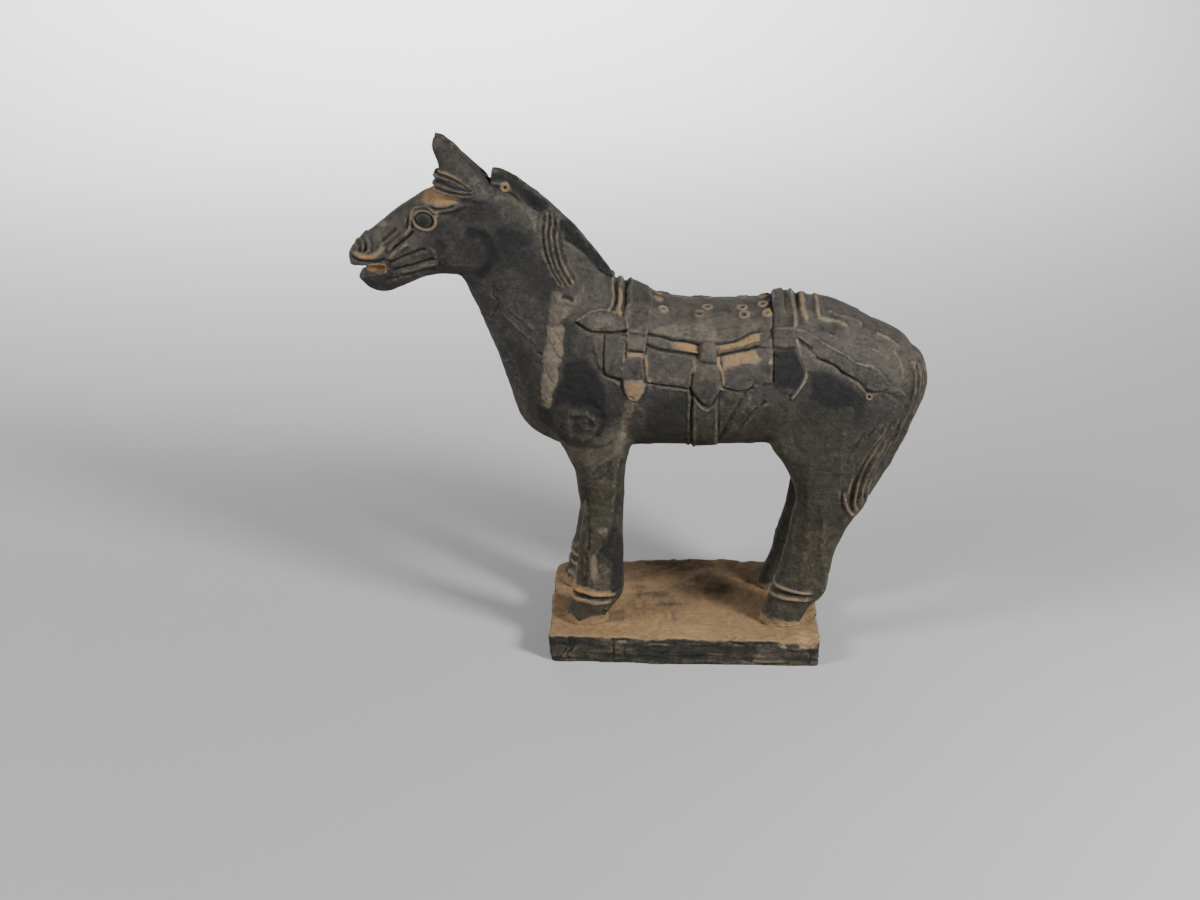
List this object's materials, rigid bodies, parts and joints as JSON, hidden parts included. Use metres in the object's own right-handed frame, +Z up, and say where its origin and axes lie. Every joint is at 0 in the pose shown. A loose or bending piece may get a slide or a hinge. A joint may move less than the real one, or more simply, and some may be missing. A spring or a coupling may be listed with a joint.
{
  "type": "pottery horse figure",
  "caption": "Small dark fired-clay figure of a saddled cavalry horse standing on a thin plinth, for a shelf or table.",
  "frame": {"origin": "centre of the plinth's flat underside", "axes": "+Z up, -X the way the horse faces, -Y the horse's left side"},
  "size_m": [0.1942, 0.0631, 0.1783],
  "materials": {
    "fired_clay": "matte"
  },
  "bodies": {
    "root": {"horse_on_plinth": "fired_clay"}
  },
  "joints": []
}
